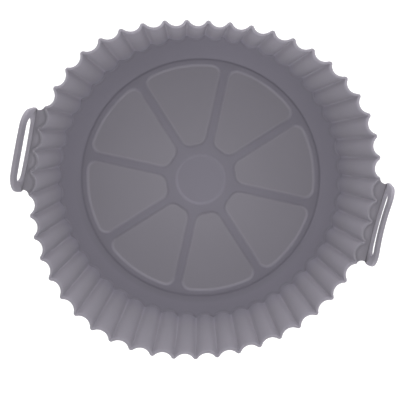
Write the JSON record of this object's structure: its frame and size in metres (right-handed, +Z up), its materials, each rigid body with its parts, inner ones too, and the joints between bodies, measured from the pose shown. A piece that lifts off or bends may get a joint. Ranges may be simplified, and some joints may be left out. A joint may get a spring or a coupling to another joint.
{
  "type": "air fryer liner",
  "caption": "Round fluted silicone liner for an air fryer basket, with a wheel of low ribs on its floor and a slotted lifting loop on each side.",
  "frame": {"origin": "middle of the flat underside, on the table", "axes": "+Z up out of the open top, +X through the two lifting loops, +Y across them"},
  "size_m": [0.2134, 0.1998, 0.0652],
  "materials": {
    "silicone": "matte grey silicone"
  },
  "bodies": {
    "root": {"liner": "silicone"}
  },
  "joints": []
}
